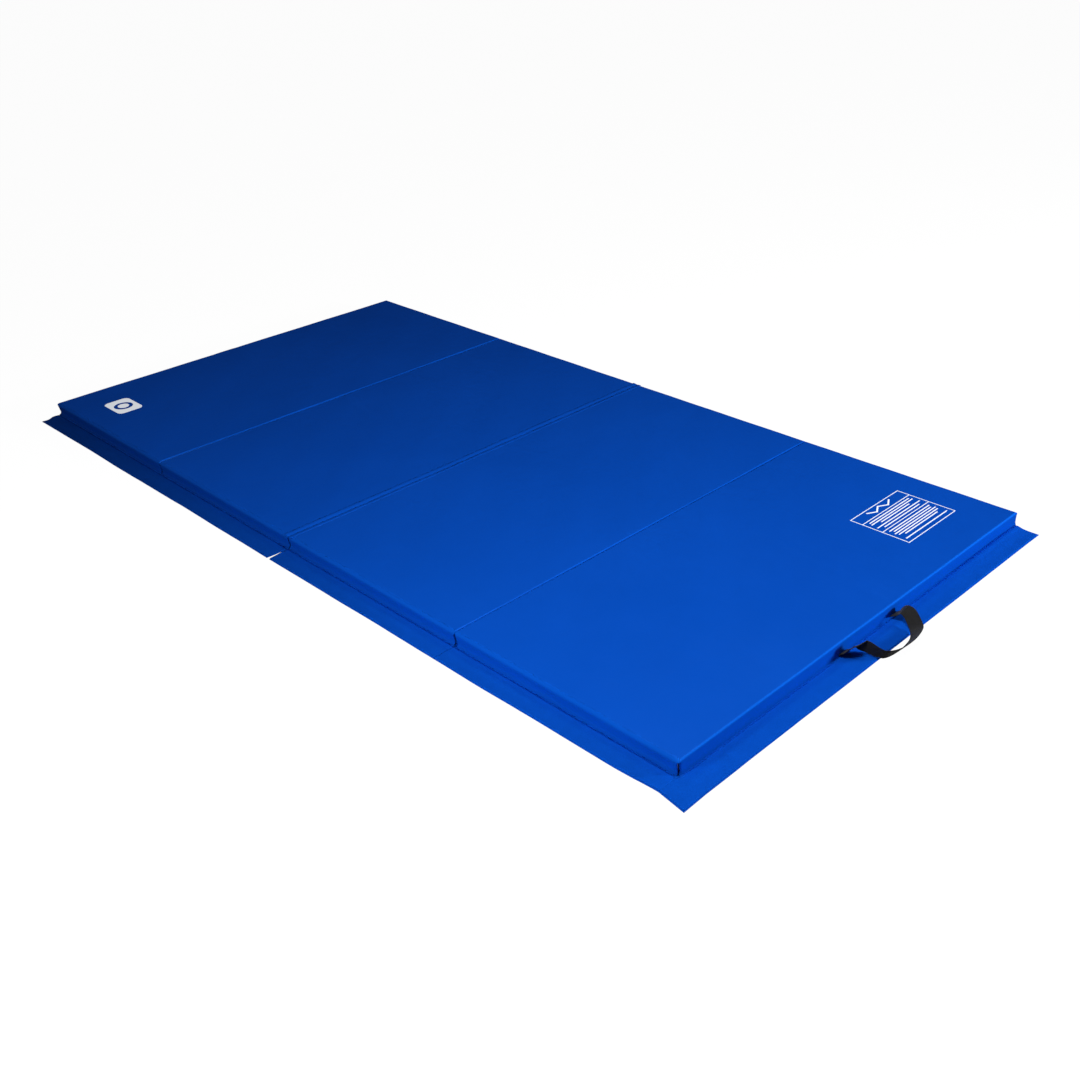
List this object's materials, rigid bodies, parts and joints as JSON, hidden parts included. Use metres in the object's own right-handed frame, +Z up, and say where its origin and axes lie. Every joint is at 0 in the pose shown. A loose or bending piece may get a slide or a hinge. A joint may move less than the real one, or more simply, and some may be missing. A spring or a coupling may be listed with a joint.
{
  "type": "folding gym mat",
  "caption": "Padded exercise mat of foam panels in sewn vinyl covers that folds into a zigzag stack, with fastening flaps along its edges and webbing carry handles at its ends.",
  "frame": {"origin": "on the floor under the middle of the opened mat's whole footprint, flaps and handles included", "axes": "+X along the opened mat towards the end with the flap, +Y across it towards the side without a flap, +Z up"},
  "size_m": [2.6126, 1.2772, 0.0362],
  "materials": {
    "cover_vinyl": "satin royal blue coated vinyl with a fine grain",
    "flap_vinyl": "satin royal blue coated vinyl",
    "loop_tape": "brushed loop pile",
    "hook_tape": "moulded hook tape",
    "webbing": "woven webbing",
    "foam": "closed-cell polyethylene foam",
    "print": "screen-printed ink"
  },
  "bodies": {
    "panel_2": {"panel_2_foam_core": "foam", "panel_2_top_sheet": "cover_vinyl", "panel_2_bottom_sheet": "cover_vinyl", "panel_2_front_wall": "cover_vinyl", "panel_2_back_wall": "cover_vinyl", "panel_2_left_wall": "cover_vinyl", "panel_2_right_wall": "cover_vinyl", "back_hook_strip_2": "hook_tape", "fold_1_web": "cover_vinyl", "fold_2_web": "cover_vinyl"},
    "panel_1": {"panel_1_foam_core": "foam", "panel_1_top_sheet": "cover_vinyl", "panel_1_bottom_sheet": "cover_vinyl", "panel_1_front_wall": "cover_vinyl", "panel_1_back_wall": "cover_vinyl", "panel_1_far_end_wall": "cover_vinyl", "panel_1_right_wall": "cover_vinyl", "back_hook_strip_1": "hook_tape", "far_end_hook_strip": "hook_tape", "printed_badge": "print", "far_handle_tails": "webbing"},
    "panel_3": {"panel_3_foam_core": "foam", "panel_3_top_sheet": "cover_vinyl", "panel_3_bottom_sheet": "cover_vinyl", "panel_3_front_wall": "cover_vinyl", "panel_3_back_wall": "cover_vinyl", "panel_3_left_wall": "cover_vinyl", "panel_3_right_wall": "cover_vinyl", "back_hook_strip_3": "hook_tape", "fold_3_web": "cover_vinyl"},
    "panel_4": {"panel_4_foam_core": "foam", "panel_4_top_sheet": "cover_vinyl", "panel_4_bottom_sheet": "cover_vinyl", "panel_4_front_wall": "cover_vinyl", "panel_4_back_wall": "cover_vinyl", "panel_4_left_wall": "cover_vinyl", "panel_4_near_end_wall": "cover_vinyl", "back_hook_strip_4": "hook_tape", "printed_care_panel": "print", "near_handle_tails": "webbing"},
    "front_flap_1": {"front_flap_1": "flap_vinyl", "front_flap_loop_tape_1": "loop_tape"},
    "front_flap_2": {"front_flap_2": "flap_vinyl", "front_flap_loop_tape_2": "loop_tape"},
    "front_flap_3": {"front_flap_3": "flap_vinyl", "front_flap_loop_tape_3": "loop_tape"},
    "front_flap_4": {"front_flap_4": "flap_vinyl", "front_flap_loop_tape_4": "loop_tape"},
    "end_flap": {"end_flap": "flap_vinyl", "end_flap_loop_tape": "loop_tape"},
    "near_handle": {"near_handle_loop": "webbing"},
    "far_handle": {"far_handle_loop": "webbing"}
  },
  "joints": [
    {"name": "fold_1", "type": "hinge", "parent": "panel_2", "child": "panel_1", "pos_m": [-0.6201, 0.029, -0.0003], "axis": [0, -1, 0], "range_deg": [0, 179], "deforming": ["fold_1_web"]},
    {"name": "fold_2", "type": "hinge", "parent": "panel_2", "child": "panel_3", "pos_m": [-0.0105, 0.029, 0.0363], "axis": [0, -1, 0], "range_deg": [0, 179], "deforming": ["fold_2_web"]},
    {"name": "fold_3", "type": "hinge", "parent": "panel_3", "child": "panel_4", "pos_m": [0.5991, 0.029, -0.0003], "axis": [0, 1, 0], "range_deg": [0, 179], "deforming": ["fold_3_web"]},
    {"name": "front_flap_1_tuck", "type": "hinge", "parent": "panel_1", "child": "front_flap_1", "pos_m": [-0.9249, -0.5806, -0.00015], "axis": [-1, 0, 0], "range_deg": [-180, 0]},
    {"name": "front_flap_2_tuck", "type": "hinge", "parent": "panel_2", "child": "front_flap_2", "pos_m": [-0.3153, -0.5806, -0.00015], "axis": [-1, 0, 0], "range_deg": [-180, 0]},
    {"name": "front_flap_3_tuck", "type": "hinge", "parent": "panel_3", "child": "front_flap_3", "pos_m": [0.2943, -0.5806, -0.00015], "axis": [-1, 0, 0], "range_deg": [-180, 0]},
    {"name": "front_flap_4_tuck", "type": "hinge", "parent": "panel_4", "child": "front_flap_4", "pos_m": [0.9035, -0.5806, -0.00015], "axis": [-1, 0, 0], "range_deg": [-180, 0]},
    {"name": "end_flap_tuck", "type": "hinge", "parent": "panel_4", "child": "end_flap", "pos_m": [1.2083, 0.029, -0.00015], "axis": [0, -1, 0], "range_deg": [-90, 0]},
    {"name": "near_handle_lift", "type": "hinge", "parent": "panel_4", "child": "near_handle", "pos_m": [1.2095, 0.029, 0.0037], "axis": [0, -1, 0], "range_deg": [0, 25]},
    {"name": "far_handle_lift", "type": "hinge", "parent": "panel_1", "child": "far_handle", "pos_m": [-1.2305, 0.029, 0.0037], "axis": [0, 1, 0], "range_deg": [0, 30]}
  ],
  "couplings": [
    {"joint": "front_flap_2_tuck", "follows": "front_flap_1_tuck", "ratio": 1},
    {"joint": "front_flap_4_tuck", "follows": "front_flap_3_tuck", "ratio": 1}
  ]
}
